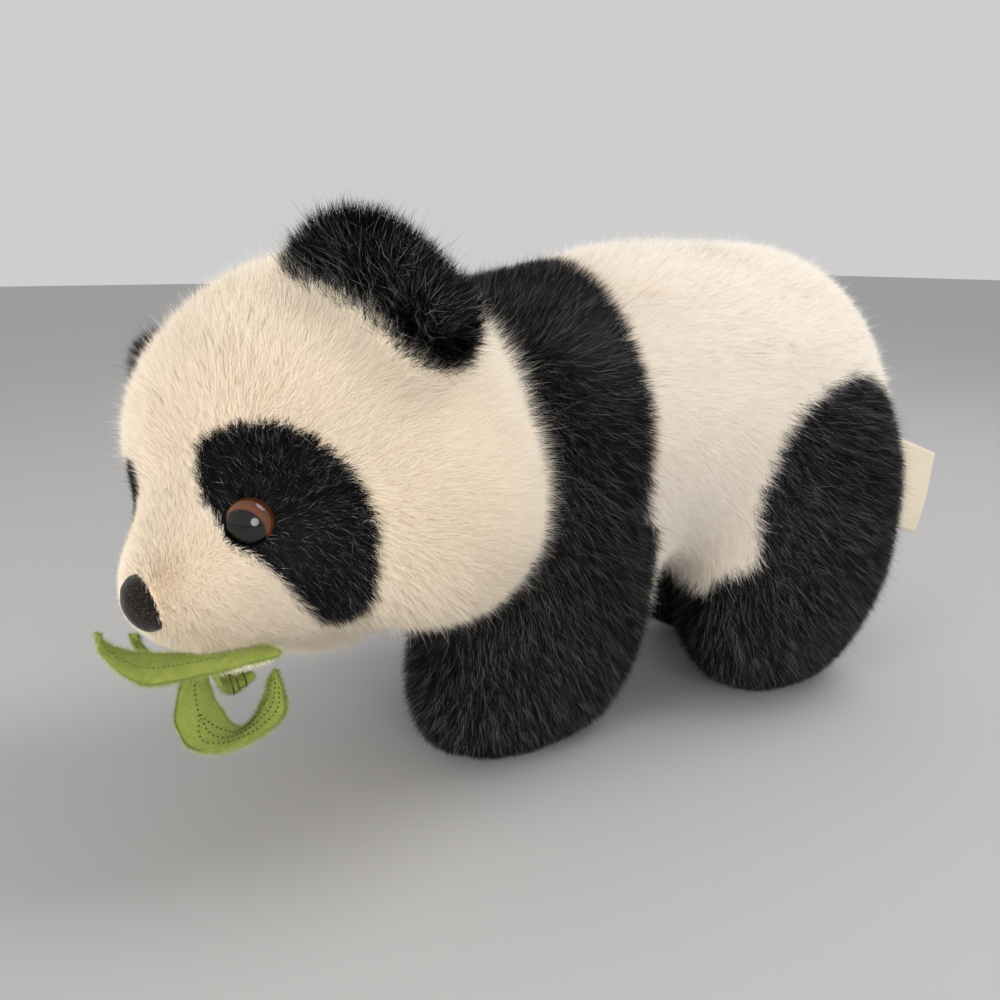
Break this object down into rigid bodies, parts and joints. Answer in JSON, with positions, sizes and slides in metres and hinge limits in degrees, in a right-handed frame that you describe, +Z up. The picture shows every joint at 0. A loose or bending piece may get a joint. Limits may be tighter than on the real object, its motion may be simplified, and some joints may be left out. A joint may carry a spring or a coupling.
{
  "type": "plush giant panda toy",
  "caption": "Plush giant panda toy standing with its head turned and tilted, long black and cream pile, glossy eyes, felt bamboo leaves in its mouth and a bare cloth label at the rump",
  "frame": {"origin": "on the surface the toy stands on, under the middle of its outline", "axes": "+Z is up, the toy faces -Y and its left side is +X"},
  "size_m": [0.1839, 0.3951, 0.209],
  "materials": {
    "white_plush": "long soft pile, cream white",
    "black_plush": "long soft pile, black with a grey sheen",
    "nose_flock": "short matte flock",
    "eye_plastic": "clear polished dome over brown iris and black pupil",
    "leaf_felt": "matte felt with darker stitching",
    "label_cloth": "woven tape, bare"
  },
  "bodies": {
    "root": {"head": "white_plush", "barrel": "white_plush", "tail": "white_plush", "yoke": "black_plush", "ear_left": "black_plush", "ear_right": "black_plush", "eye_patch_left": "black_plush", "eye_patch_right": "black_plush", "foreleg_left": "black_plush", "foreleg_right": "black_plush", "hindleg_left": "black_plush", "hindleg_right": "black_plush", "eye_left": "eye_plastic", "eye_right": "eye_plastic", "nose": "nose_flock", "leaf_upper": "leaf_felt", "leaf_curl": "leaf_felt", "leaf_back": "leaf_felt", "leaf_far": "leaf_felt", "label": "label_cloth"}
  },
  "joints": []
}
